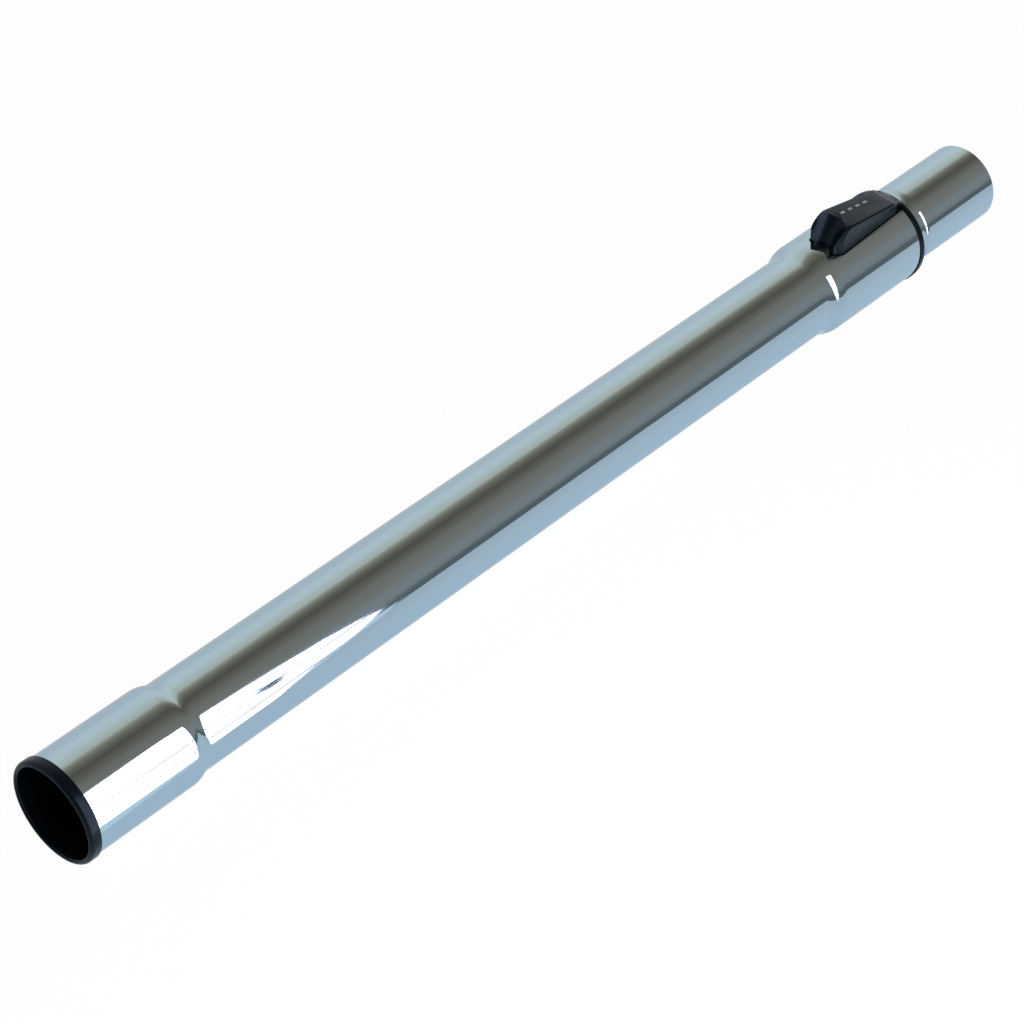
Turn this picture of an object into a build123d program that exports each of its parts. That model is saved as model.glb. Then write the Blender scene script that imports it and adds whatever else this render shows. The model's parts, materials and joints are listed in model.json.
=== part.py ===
from build123d import *
import math
import os

# Telescopic suction tube, lying on its side with its release button on top.
# A plated steel outer tube is widened at both ends: the lower socket holds a black liner that a floor tool
# plugs into, and the upper bell holds the lock. A plated inner tube slides in it, and its widened cuff takes
# the hose handle. A rocking button carries a steel pawl that drops into notches pressed along the inner tube.
# X runs along the tube from the liner's mouth to the cuff, Y is across it and Z is up.
# Stations are measured along X from the mouth, and heights from the tube's centre line.

# Steel tubes
sheet = 0.6
barrel_od = 35.0
slide_room = 0.9
cuff_flare = 0.85
socket_run = 42.6
socket_taper = 8.0
barrel_run = 332.0
bell_taper = 11.5
neck_gap = 0.6
cuff_taper = 6.0
cuff_run = 46.7

# Socket liner
flange_proud = 0.6
flange_thick = 4.4
flange_round = 1.6
liner_wall = 0.95
liner_gap = 0.05
lead_in = 1.0
stop_lip_height = 0.9
stop_lip_thick = 1.5

# Guide sleeve, collar and wiper in the bell
slide_gap = 0.2
sleeve_wall = 1.1
rib_height = 1.85
sleeve_gap = 0.05
nose_shift = 2.4
nose_gap = 0.15
front_ring = 1.2
rear_ring = 5.0
rib_thick = 1.4
rib_angles = (35, 90, 145, 180, 215, 270, 325)
key_length = 13.0
key_gap = 0.3
collar_proud = 0.4
collar_thick = 2.9
collar_round = 0.8
spigot_length = 4.2
spigot_gap = 0.1
wiper_width = 2.2
wiper_thick = 1.7
wiper_touch = 0.1

# Track and notches pressed into the inner tube
track_width = 8.0
track_depth = 0.8
track_lead = 4.0
track_tail = 2.5
notch_length = 3.4
notch_width = 7.2
notch_depth = 1.1
notch_corner = 0.5
notch_count = 9

# Rings on the inner tube's tail
tail_room = 3.0
ring_gap = 0.15
ring_seat = 0.04
bush_length = 20.0
bush_lip = 2.4
bush_lip_height = 0.8
seal_length = 5.0
ring_length = 14.0
ring_space = 0.2
stop_gap = 0.2

# Release button: plan sizes at the bell's surface, and the same at its tall front
window_lead = 2.0
button_length = 44.0
tail_cover = 2.7
tip_half = 6.4
shoulder_back = 4.2
shoulder_half = 7.85
tail_half = 6.4
crown_height = 12.0
crown_slim = 0.3
tail_slim = 1.1
crown_slope = 10.2
brow_slope = 24.0
brow_half = 4.9
brow_gap = 0.5
tail_fall = 4.5
front_round = 5.5
corner_round = 1.5
edge_round = 0.9
skirt_depth = 1.2
tail_relief = 0.5
scoop_low_radius = 5.0
scoop_high_radius = 7.8
scoop_depth = 3.4
scoop_lean = 6.6
window_gap = 0.35
button_wall = 1.5
button_roof = 1.8
cavity_start = 12.4
cavity_wall = 4.6
pip_count = 4
pip_pitch = 5.2
pip_start = 14.0
pip_length = 2.6
pip_width = 1.0
pip_height = 0.3
pip_offset = 1.6
edge_band = 0.4

# Rocking pivot, pawl and return springs
pivot_back = 21.0
pivot_rise = 0.8
pin_diameter = 2.5
pin_length = 8.6
pin_fit = 0.05
pin_seat = 0.02
boss_radius = 2.2
boss_half = 2.45
boss_gap = 0.4
ear_thick = 1.4
ear_gap = 0.3
ear_length = 5.4
ear_rise = 1.9
ear_mouth = 2.1
post_height = 2.4
cradle_length = 15.5
cradle_lead = 8.0
cradle_half = 4.4
cradle_seat = 0.05
pawl_ahead = 5.5
pawl_thick = 2.0
pawl_half = 3.3
pawl_clear = 0.15
pawl_grip = 4.2
pawl_fit = 0.02
pawl_chamfer = 0.35
pawl_hole_gap = 0.6
spring_ahead = 6.3
spring_half = 2.65
spring_od = 4.2
spring_wire = 0.5
spring_turns = 6
spring_room = 0.25
spring_slack = 0.1

# Stations along the tube
socket_start = flange_thick
socket_end = socket_start + socket_run
barrel_start = socket_end + socket_taper
barrel_end = barrel_start + barrel_run
bell_start = barrel_end + bell_taper
button_front = bell_start + window_lead
button_tail = button_front + button_length
knee = button_tail - tail_fall
bell_end = button_tail + tail_cover
collar_end = bell_end + collar_thick
neck_end = collar_end + neck_gap
cuff_start = neck_end + cuff_taper
tube_end = cuff_start + cuff_run

# Radii: the slide runs in the barrel's bore, and a tool's neck is as wide as the barrel
barrel_r = barrel_od / 2
barrel_bore_r = barrel_r - sheet
slide_r = barrel_bore_r - slide_room
cuff_r = slide_r + cuff_flare
liner_bore_r = barrel_r
socket_bore_r = liner_bore_r + liner_wall + liner_gap
socket_r = socket_bore_r + sheet
flange_r = socket_r + flange_proud
core_in_r = slide_r + slide_gap
core_r = core_in_r + sleeve_wall
sleeve_r = core_r + rib_height
bell_bore_r = sleeve_r + sleeve_gap
bell_r = bell_bore_r + sheet
collar_r = bell_r + collar_proud
track_floor = slide_r - track_depth
notch_floor = track_floor - notch_depth

# Places that several pieces share
pivot_x = button_front + pivot_back
pivot_height = bell_r + pivot_rise
cradle_top = pivot_height - boss_radius - boss_gap
pawl_x = button_tail - pawl_ahead
spring_x = pivot_x - spring_ahead
nose_start = barrel_end + nose_shift
tail_start = barrel_start + tail_room
ring_start = tail_start - bush_lip + bush_length + seal_length + 2 * ring_space
ring_end = ring_start + ring_length
travel = nose_start - ring_end - stop_gap
notch_pitch = travel / (notch_count - 1)
rest_height = max(collar_r, flange_r)
place = Location((-tube_end / 2, 0, rest_height))
above = bell_r + 3 * crown_height
spare = 5.0


def s_curve(start, end):
    """Two equal arcs that leave start and reach end in line with the tube."""
    middle = ((start[0] + end[0]) / 2, (start[1] + end[1]) / 2)
    return TangentArc(start, middle, tangent=(1, 0)) + TangentArc(end, middle, tangent=(-1, 0))


def turned(curve):
    """The solid that a closed outline of stations and radii makes about the tube's centre line."""
    return revolve(Plane.XZ * make_face(curve), Axis.X)


def pipe(start, end, inner, outer):
    """A plain ring between two stations."""
    return turned(Polyline((start, inner), (end, inner), (end, outer), (start, outer), close=True))


def rod(start, end, radius):
    """A round bar on the centre line between two stations."""
    return turned(Polyline((start, 0), (end, 0), (end, radius), (start, radius), close=True))


def block(x, y, z):
    """A box from its limits along each direction."""
    return Pos(x[0], y[0], z[0]) * Box(x[1] - x[0], y[1] - y[0], z[1] - z[0], align=(Align.MIN,) * 3)


def upward(plan, low, high):
    """A plan outline raised from one height to another."""
    return extrude(Pos(0, 0, low) * plan, high - low)


def crown_at(x):
    """Height of the button's sloping top over a station."""
    return bell_r + crown_height - math.tan(math.radians(crown_slope)) * (x - button_front)


def half_width_at(x):
    """Half the button's width over a station, at the bell's surface."""
    shoulder = button_front + shoulder_back
    return shoulder_half + (tail_half - shoulder_half) * (x - shoulder) / (button_tail - shoulder)


def button_plan(lift):
    """The button's outline at a share of its rise: 0 at the bell's surface, 1 at the crown."""
    shoulder = button_front + shoulder_back
    half = [(button_front, tip_half), (shoulder, shoulder_half - crown_slim * lift),
            (button_tail, tail_half - tail_slim * lift)]
    mirrored = [(x, -y) for x, y in reversed(half)]
    return make_face(Polyline(*half, *mirrored, close=True))


def window_plan():
    """The opening in the bell: the button's foot with a gap, open to the rim, with a tongue in the scoop."""
    foot = offset(button_plan(0), window_gap, kind=Kind.INTERSECTION)
    to_rim = Pos(bell_end - 1, 0) * Rectangle(
        bell_end - button_tail + 2, 2 * (tail_half + window_gap), align=(Align.CENTER, Align.CENTER))
    tongue = Pos(button_front + scoop_depth - scoop_low_radius, 0) * Circle(scoop_low_radius - window_gap)
    return foot + to_rim - tongue


def outer_tube():
    """One drawn tube: socket, plain barrel and bell, with the button's window cut in the bell."""
    runs = ((socket_start, socket_r), (socket_end, socket_r), (barrel_start, barrel_r),
            (barrel_end, barrel_r), (bell_start, bell_r), (bell_end, bell_r))
    skins = []
    for inset in (0, sheet):
        a, b, c, d, e, f = [(x, r - inset) for x, r in runs]
        skins.append((a, Line(a, b) + s_curve(b, c) + Line(c, d) + s_curve(d, e) + Line(e, f), f))
    (a, outside, f), (g, inside, h) = skins
    body = turned(outside + inside + Line(a, g) + Line(f, h))
    return body - upward(window_plan(), 0, above)


def socket_liner():
    """The mouth ring and its sleeve in the socket, with a rounded lip and a stop for the plugged-in tool."""
    bore, skin, lip = liner_bore_r, socket_bore_r - liner_gap, flange_r
    end = socket_end - sheet
    stop = end - stop_lip_thick
    lead = (lead_in, bore)
    rounded = flange_round
    outline = (Line((0, bore + lead_in), (0, lip - rounded))
               + TangentArc((0, lip - rounded), (rounded, lip), tangent=(0, 1))
               + Polyline((rounded, lip), (flange_thick, lip), (flange_thick, skin), (end, skin),
                          (end, bore - stop_lip_height), (stop, bore - stop_lip_height), (stop, bore), lead)
               + TangentArc(lead, (0, bore + lead_in), tangent=(-1, 0)))
    return turned(outline)


def guide_sleeve():
    """The ribbed bush in the bell that the inner tube slides in, with a key for the track and a hole for the pawl."""
    nose, ring = (nose_start, barrel_bore_r - nose_gap), (bell_start + nose_shift, sleeve_r)
    ring_back = ring[0] + front_ring
    rear = bell_end - spigot_length - rear_ring
    shell = turned(Line((nose_start, core_in_r), nose) + s_curve(nose, ring)
                   + Polyline(ring, (ring_back, sleeve_r), (ring_back, core_r), (bell_end, core_r),
                              (bell_end, core_in_r), (nose_start, core_in_r)))
    rim = pipe(rear, rear + rear_ring, core_r - sheet, sleeve_r)
    envelope = pipe(ring_back - 1, rear + 1, core_r - sheet, sleeve_r)
    ribs = [envelope & (Rot(angle, 0, 0) * block((ring_back - 1, rear + 1), (-rib_thick / 2, rib_thick / 2),
                                                 (core_in_r, bell_r))) for angle in rib_angles]
    key = block((nose_start + 1, nose_start + 1 + key_length),
                (key_gap - track_width / 2, track_width / 2 - key_gap), (track_floor + key_gap, core_in_r + sheet))
    body = shell + rim + ribs[0]
    for rib in ribs[1:]:
        body = body + rib
    pocket = upward(offset(button_plan(0), window_gap, kind=Kind.INTERSECTION), 0, above)
    pocket = pocket - rod(button_front - spare, bell_end + spare, core_r)
    reach = pawl_thick / 2 + pawl_hole_gap
    hole = block((pawl_x - reach, pawl_x + reach), (-pawl_half - pawl_hole_gap, pawl_half + pawl_hole_gap),
                 (0, above))
    return body + key - pocket - hole


def collar_ring():
    """The black end ring: flange over the rim, spigot inside the bell, wiper seat and the brow behind the button."""
    bore, lip = core_in_r + spigot_gap, collar_r
    seat = wiper_outer_r() + wiper_touch
    inside = core_r + spigot_gap
    start = bell_end - spigot_length
    face = collar_end
    ring = turned(Polyline((start, inside), (start, sleeve_r), (bell_end, sleeve_r), (bell_end, lip),
                           (face - collar_round, lip))
                  + TangentArc((face - collar_round, lip), (face, lip - collar_round), tangent=(1, 0))
                  + Polyline((face, lip - collar_round), (face, bore), (face - wiper_lip(), bore),
                             (face - wiper_lip(), seat), (bell_end, seat), (bell_end, inside), (start, inside)))
    brow_start = button_tail + brow_gap
    top = crown_at(knee) - math.tan(math.radians(brow_slope)) * (brow_start - knee)
    seated = core_r + rib_height / 4
    side = make_face(Polyline(
        (brow_start, seated), (bell_end + sheet, seated), (bell_end + sheet, lip - collar_round),
        (face - collar_round, lip - spigot_gap), (brow_start, top), close=True))
    brow = extrude(Plane.XZ * side, brow_half, both=True)
    room = half_width_at(start) + window_gap
    clear = block((start - 1, brow_start), (-room, room), (0, above))
    return ring - clear + brow - rod(brow_start - 1, bell_end, inside) - rod(bell_end, face - wiper_lip(), seat)


def wiper_lip():
    """How much of the collar's flange lies in front of the wiper."""
    return collar_thick - wiper_thick - wiper_touch


def wiper_outer_r():
    """The wiper ring's outer radius."""
    return slide_r + wiper_touch + wiper_width


def wiper_felt():
    """The felt ring in the collar that wipes the inner tube."""
    return pipe(bell_end, bell_end + wiper_thick, slide_r + wiper_touch, wiper_outer_r())


def notch_tools(grow, low):
    """The track and its notches as plan outlines raised from their floors, or the same grown by the sheet."""
    start = nose_start - travel - track_lead
    end = collar_end - track_tail
    track = Pos((start + end) / 2, 0) * SlotOverall(end - start + 2 * grow, track_width + 2 * grow)
    tools = upward(track, track_floor - low, above)
    notch = RectangleRounded(notch_length + 2 * grow, notch_width + 2 * grow, notch_corner + grow)
    for step in range(notch_count):
        tools = tools + upward(Pos(pawl_x - step * notch_pitch, 0) * notch, notch_floor - low, above)
    return tools


def inner_tube():
    """One drawn tube: plain slide with its pressed track and notches, and the widened cuff."""
    solids = []
    for inset in (0, sheet):
        a, b = (tail_start, slide_r - inset), (neck_end, slide_r - inset)
        c, d = (cuff_start, cuff_r - inset), (tube_end, cuff_r - inset)
        solids.append(turned(Line(a, b) + s_curve(b, c) + Line(c, d)
                             + Polyline(d, (tube_end, 0), (tail_start, 0), a)))
    skin, bore = solids
    return (skin - notch_tools(0, 0)) - (bore - notch_tools(sheet, sheet))


def tail_bush():
    """The thin bush on the inner tube's tail, with a lip over the tube's cut end."""
    start = tail_start - bush_lip
    inner, outer = slide_r + ring_seat, barrel_bore_r - ring_gap
    under = slide_r - bush_lip_height
    return turned(Polyline((start, under), (tail_start, under), (tail_start, inner), (start + bush_length, inner),
                           (start + bush_length, outer), (start, outer), close=True))


def slide_seal():
    """The felt band between the two rings, which keeps the suction in."""
    start = tail_start - bush_lip + bush_length + ring_space
    return pipe(start, start + seal_length, slide_r + ring_seat, barrel_bore_r - ring_gap)


def guide_ring():
    """The ring that meets the guide sleeve's nose at full reach."""
    return pipe(ring_start, ring_end, slide_r + ring_seat, barrel_bore_r - ring_gap)


def scoop():
    """The hollow for the fingertip in the button's tall front, upright in the window and wider towards the top."""
    sections = []
    for rise in (0, crown_height + spare):
        radius = scoop_low_radius + (scoop_high_radius - scoop_low_radius) * rise / crown_height
        wall = button_front + scoop_depth + scoop_lean * rise / crown_height
        sections.append(Pos(wall - radius, 0, bell_r + rise) * Circle(radius))
    return loft(sections) + extrude(sections[0], -spare)


def front_waste(side):
    """What the rounding of the front takes away: along the tips for side 0, or along one bevelled corner."""
    slope = math.radians(crown_slope)
    reach = front_round * math.tan(math.radians(45) + slope / 2)
    corner = (button_front, crown_at(button_front))
    low = (corner[0], corner[1] - reach)
    back = (corner[0] + reach * math.cos(slope), corner[1] - reach * math.sin(slope))
    profile = (Line((corner[0] - spare, low[1]), low) + TangentArc(low, back, tangent=(0, 1))
               + Polyline(back, (back[0], corner[1] + spare), (corner[0] - spare, corner[1] + spare),
                          (corner[0] - spare, low[1])))
    face = Plane.XZ * make_face(profile)
    if side == 0:
        return extrude(face, tip_half + spare, both=True)
    across = shoulder_half - tip_half
    along = Vector(shoulder_back, side * across, -math.tan(slope) * shoulder_back)
    return extrude(Pos(0, side * tip_half, 0) * face, 2 * along.length, dir=along.normalized())


def wedge():
    """The button's solid form: tapered flanks, sloping crown and brow, rounded edges, and a rounded front."""
    head = crown_height + spare
    body = loft([Pos(0, 0, bell_r + rise) * button_plan(rise / crown_height) for rise in (0, head)], ruled=True)
    body = body + upward(button_plan(0), bell_r - skirt_depth - spare, bell_r)
    fall = math.tan(math.radians(brow_slope))
    rear = button_tail + 1
    side = make_face(Polyline((button_front - spare, 0), (rear, 0), (rear, crown_at(knee) - fall * (rear - knee)),
                              (knee, crown_at(knee)), (button_front - spare, crown_at(button_front - spare)),
                              close=True))
    body = body & extrude(Plane.XZ * side, shoulder_half + 2, both=True)
    body = fillet([e for e in body.edges() if on_corner(e)], corner_round)
    body = fillet([e for e in body.edges() if on_crown(e)], edge_round)
    return body - front_waste(0) - front_waste(1) - front_waste(-1)


def release_button():
    """The rocking button: a wedge with a scooped front, hollow inside, with the pin's boss and grip pips."""
    low = bell_r - skirt_depth
    body = wedge() - rod(button_front - spare, button_tail + spare, low) - scoop()
    relief = pawl_x + pawl_thick
    under = make_face(Polyline((relief, 0), (relief, low), (button_tail + 1, low + tail_relief),
                               (button_tail + 1, 0), close=True))
    body = body - extrude(Plane.XZ * under, shoulder_half, both=True) - button_cavity()
    boss = Pos(pivot_x, 0, pivot_height) * Rot(90, 0, 0) * Cylinder(boss_radius, 2 * boss_half)
    web = block((pivot_x - boss_radius, pivot_x + boss_radius), (-boss_half, boss_half),
                (pivot_height, crown_at(pivot_x) - button_roof + edge_round))
    bore = Pos(pivot_x, 0, pivot_height) * Rot(90, 0, 0) * Cylinder(pin_diameter / 2 + pin_seat, 4 * boss_half)
    fit = pawl_fit
    slot = block((pawl_x - pawl_thick / 2 - fit, pawl_x + pawl_thick / 2 + fit), (-pawl_half - fit, pawl_half + fit),
                 (0, low + pawl_grip))
    return body + boss + web - bore - slot + pips()


def on_corner(edge):
    """Whether an edge is one of the upright ones at the button's shoulders."""
    points = [edge @ 0, edge @ 1]
    shoulder = button_front + shoulder_back
    return abs(points[0].Z - points[1].Z) > 1 and all(
        abs(p.X - shoulder) < edge_round and abs(p.Y) > tip_half + edge_round for p in points) and (
        max(p.Z for p in points) > bell_r + edge_round)


def on_crown(edge):
    """Whether an edge runs along one side of the button's sloping top."""
    points = [edge @ 0, edge @ 0.5, edge @ 1]
    along = abs(points[0].X - points[2].X) > 1
    beside = min(abs(p.Y) for p in points) > tail_half - 1
    return along and beside and all(abs(p.Z - crown_at(p.X)) < edge_band for p in points)


def button_cavity():
    """The hollow under the button's roof, which the cradle stands in."""
    start = button_front + cavity_start
    end = pawl_x - cavity_wall
    walls = [(x, half_width_at(x) - button_wall - crown_slim / 2) for x in (start, end)]
    plan = make_face(Polyline(*walls, *[(x, -y) for x, y in reversed(walls)], close=True))
    side = make_face(Polyline((start, 0), (end, 0), (end, crown_at(end) - button_roof),
                              (start, crown_at(start) - button_roof), close=True))
    return upward(plan, 0, above) & extrude(Plane.XZ * side, shoulder_half, both=True)


def pips():
    """Four low grip pips in a row along the button's top."""
    tilt = Rot(0, crown_slope, 0)
    made = None
    for step in range(pip_count):
        x = button_front + pip_start + step * pip_pitch
        pip = extrude(SlotOverall(pip_length, pip_width), 2 * pip_height)
        pip = Pos(x, pip_offset, crown_at(x) - pip_height) * tilt * pip
        made = pip if made is None else made + pip
    return made


def pivot_pin():
    """The steel pin that the button rocks on."""
    return Pos(pivot_x, 0, pivot_height) * Rot(90, 0, 0) * Cylinder(pin_diameter / 2, pin_length)


def locking_pawl():
    """The stamped steel pawl in the button's tail, its tip just clear of the track's floor."""
    tip = track_floor + pawl_clear
    top = bell_r - skirt_depth + pawl_grip
    plate = block((pawl_x - pawl_thick / 2, pawl_x + pawl_thick / 2), (-pawl_half, pawl_half), (tip, top))
    return chamfer(plate.faces().sort_by(Axis.Z)[0].edges(), pawl_chamfer)


def lock_cradle():
    """The saddle on the guide sleeve with snap ears for the pin and posts for the springs."""
    start = pivot_x - cradle_lead
    plate = block((start, start + cradle_length), (-cradle_half, cradle_half), (0, cradle_top))
    ears = None
    for side in (-1, 1):
        inner = side * (boss_half + ear_gap)
        outer = inner + side * ear_thick
        ear = block((pivot_x - ear_length / 2, pivot_x + ear_length / 2), (min(inner, outer), max(inner, outer)),
                    (core_r, pivot_height + ear_rise))
        ears = ear if ears is None else ears + ear
    bore = Pos(pivot_x, 0, pivot_height) * Rot(90, 0, 0) * Cylinder(pin_diameter / 2 + pin_fit, 4 * cradle_half)
    mouth = block((pivot_x - ear_mouth / 2, pivot_x + ear_mouth / 2), (-cradle_half, cradle_half),
                  (pivot_height, above))
    post_r = spring_od / 2 - spring_wire - spring_room
    posts = [Pos(spring_x, side * spring_half, cradle_top) * Cylinder(post_r, post_height, align=(
        Align.CENTER, Align.CENTER, Align.MIN)) for side in (-1, 1)]
    body = plate - rod(start - 1, start + cradle_length + 1, core_r + cradle_seat)
    return body + ears - bore - mouth + posts[0] + posts[1]


def return_spring(side):
    """One coil spring between the cradle and the button's roof."""
    wire = spring_wire / 2
    low = cradle_top + wire
    high = crown_at(spring_x + spring_od / 2) - button_roof - spring_wire - spring_slack
    coil = (spring_od - spring_wire) / 2
    path = Helix(pitch=(high - low) / spring_turns, height=high - low, radius=coil)
    section = Plane(origin=path @ 0, z_dir=path % 0) * Circle(wire)
    return Pos(spring_x, side * spring_half, low) * sweep(section, path=path)


pieces = {
    "outer_tube": outer_tube(),
    "socket_liner": socket_liner(),
    "guide_sleeve": guide_sleeve(),
    "collar_ring": collar_ring(),
    "wiper_felt": wiper_felt(),
    "inner_tube": inner_tube(),
    "tail_bush": tail_bush(),
    "slide_seal": slide_seal(),
    "guide_ring": guide_ring(),
    "release_button": release_button(),
    "pivot_pin": pivot_pin(),
    "locking_pawl": locking_pawl(),
    "lock_cradle": lock_cradle(),
    "return_spring_left": return_spring(1),
    "return_spring_right": return_spring(-1),
}

os.makedirs("parts", exist_ok=True)
for name, piece in pieces.items():
    export_step(place * piece, f"parts/{name}.step")
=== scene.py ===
import json
import math

import bpy
from mathutils import Matrix, Vector


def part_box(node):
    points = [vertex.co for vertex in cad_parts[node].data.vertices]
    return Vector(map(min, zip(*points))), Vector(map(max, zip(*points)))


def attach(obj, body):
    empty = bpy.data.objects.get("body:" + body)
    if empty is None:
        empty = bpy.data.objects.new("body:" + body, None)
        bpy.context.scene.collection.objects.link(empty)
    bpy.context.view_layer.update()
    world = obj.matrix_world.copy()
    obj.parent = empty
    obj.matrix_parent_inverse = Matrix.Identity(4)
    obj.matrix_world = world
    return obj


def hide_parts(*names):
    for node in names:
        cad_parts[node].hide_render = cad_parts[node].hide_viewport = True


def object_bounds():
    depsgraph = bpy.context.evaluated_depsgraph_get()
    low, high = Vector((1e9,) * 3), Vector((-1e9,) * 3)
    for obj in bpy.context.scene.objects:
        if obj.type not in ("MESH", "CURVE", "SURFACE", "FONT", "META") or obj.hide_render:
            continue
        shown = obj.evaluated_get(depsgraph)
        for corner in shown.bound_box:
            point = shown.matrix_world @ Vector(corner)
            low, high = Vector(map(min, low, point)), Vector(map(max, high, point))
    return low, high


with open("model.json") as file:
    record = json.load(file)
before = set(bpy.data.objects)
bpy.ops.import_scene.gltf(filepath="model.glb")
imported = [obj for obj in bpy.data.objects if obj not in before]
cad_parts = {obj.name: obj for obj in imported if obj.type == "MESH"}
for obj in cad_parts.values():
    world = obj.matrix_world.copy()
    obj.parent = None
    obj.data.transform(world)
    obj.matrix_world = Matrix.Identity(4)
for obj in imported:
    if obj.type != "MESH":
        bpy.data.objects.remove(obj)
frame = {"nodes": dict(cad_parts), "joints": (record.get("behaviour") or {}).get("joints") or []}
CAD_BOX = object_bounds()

bl_info = {
    "name": "Telescopic suction tube",
    "version": (1, 0, 0),
    "blender": (4, 5, 0),
    "location": "View3D > Sidebar > Suction tube",
    "description": "Builds the looks of a plated telescopic suction tube around its construction model",
    "category": "Object",
}

MM = 0.001
LOW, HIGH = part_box("outer_tube")
HALF_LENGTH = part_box("inner_tube")[1].x
AXIS_HEIGHT = LOW.z + (HIGH.y - LOW.y) / 2
TUBE_AXIS = Vector((1, 0, 0))
# Corners of a mesh that are closer than this are one corner
SAME_PLACE = 0.002 * MM
# How far a cutting tool reaches past what it cuts, in millimetres
PAST = 1.0


def from_frame(value):
    """A length of the frame in millimetres, to the hundredth that the drawings give."""
    return round(value / MM, 2)


def station(value):
    """The distance of a place in the frame from the tube's mouth, in millimetres."""
    return from_frame(value + HALF_LENGTH)


def width_of(node):
    """The width of a node across the tube, in millimetres."""
    low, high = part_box(node)
    return from_frame(high.y - low.y)


def size_mm(name, description, default, **limits):
    """A size that a user may change, in millimetres."""
    return bpy.props.FloatProperty(name=name, description=description, default=default, **limits)


def colour(name, description, code):
    """A colour that a user may change, as an sRGB hex value."""
    return bpy.props.StringProperty(name=name, description=description, default=code)


class TubeSizes(bpy.types.PropertyGroup):
    """Sizes of the drawn steel tubes, in millimetres."""
    sheet: size_mm("Wall", "Thickness of the steel sheet", 0.6, min=0.3)
    socket_start: size_mm("Socket start", "Where the outer tube begins", station(LOW.x))
    socket_od: size_mm("Socket diameter", "Outside diameter of the tool socket", 38.2)
    socket_end: size_mm("Socket end", "Where the socket starts to narrow", 47.0)
    socket_taper: size_mm("Socket taper", "Length over which the socket narrows", 8.0)
    barrel_od: size_mm("Barrel diameter", "Outside diameter of the plain barrel", 35.0)
    bell_taper: size_mm("Bell taper", "Length over which the bell widens", 10.0)
    bell_run: size_mm("Bell length", "Straight length of the bell", 48.7)
    bell_end: size_mm("Bell end", "Where the outer tube ends", station(HIGH.x))
    bell_od: size_mm("Bell diameter", "Outside diameter of the bell", width_of("outer_tube"))
    slide_od: size_mm("Slide diameter", "Outside diameter of the inner tube", 32.0)
    slide_start: size_mm("Slide start", "Where the inner tube begins", station(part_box("inner_tube")[0].x))
    neck_end: size_mm("Neck end", "Where the inner tube starts to widen", 455.8)
    cuff_taper: size_mm("Cuff taper", "Length over which the cuff widens", 2.8)
    cuff_end: size_mm("Cuff end", "Where the inner tube ends", station(HALF_LENGTH))
    cuff_od: size_mm("Cuff diameter", "Outside diameter of the cuff", width_of("inner_tube"))
    lip_round: size_mm("Window edge", "Rounding of the window's edge", 0.32)
    rim_round: size_mm("Rim rounding", "Rounding of the sheet's cut edges", 0.18)
    facets: bpy.props.IntProperty(
        name="Facets", description="Flats around each turned form", default=224, min=24)


class TrackSizes(bpy.types.PropertyGroup):
    """Sizes of the track and notches pressed into the inner tube, in millimetres."""
    width: size_mm("Track width", "Width of the pressed track", 8.0)
    depth: size_mm("Track depth", "Depth of the track's floor", 0.8)
    start: size_mm("Track start", "Where the track begins", 91.2)
    end: size_mm("Track end", "Where the track ends", 447.6)
    notch_length: size_mm("Notch length", "Length of each notch", 3.4)
    notch_width: size_mm("Notch width", "Width of each notch", 7.2)
    notch_depth: size_mm("Notch depth", "Depth below the track", 1.1)
    notch_corner: size_mm("Notch corner", "Rounding of each notch's corners", 0.5)
    notch_count: bpy.props.IntProperty(name="Notches", description="Number of locking notches", default=9)


class PlasticSizes(bpy.types.PropertyGroup):
    """Sizes of the moulded liner and collar, in millimetres."""
    flange_od: size_mm("Mouth ring", "Outside diameter of the liner's flange", width_of("socket_liner"))
    flange_round: size_mm("Mouth ring rounding", "Rounding of the flange's outer corner", 1.6)
    liner_bore: size_mm("Liner bore", "Bore that a tool plugs into", 35.0)
    lead_in: size_mm("Lead-in", "Rounding at the mouth of the bore", 1.0)
    stop_lip: size_mm("Stop lip", "Height of the stop inside the liner", 0.9)
    stop_thick: size_mm("Stop length", "Length of the stop inside the liner", 1.5)
    collar_od: size_mm("Collar diameter", "Outside diameter of the collar's flange", width_of("collar_ring"))
    collar_end: size_mm("Collar end", "Outer face of the collar", station(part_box("collar_ring")[1].x))
    collar_round: size_mm("Collar rounding", "Rounding of the collar's corner", 0.8)
    gap: size_mm("Seating gap", "Gap to the steel around", 0.05)


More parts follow.
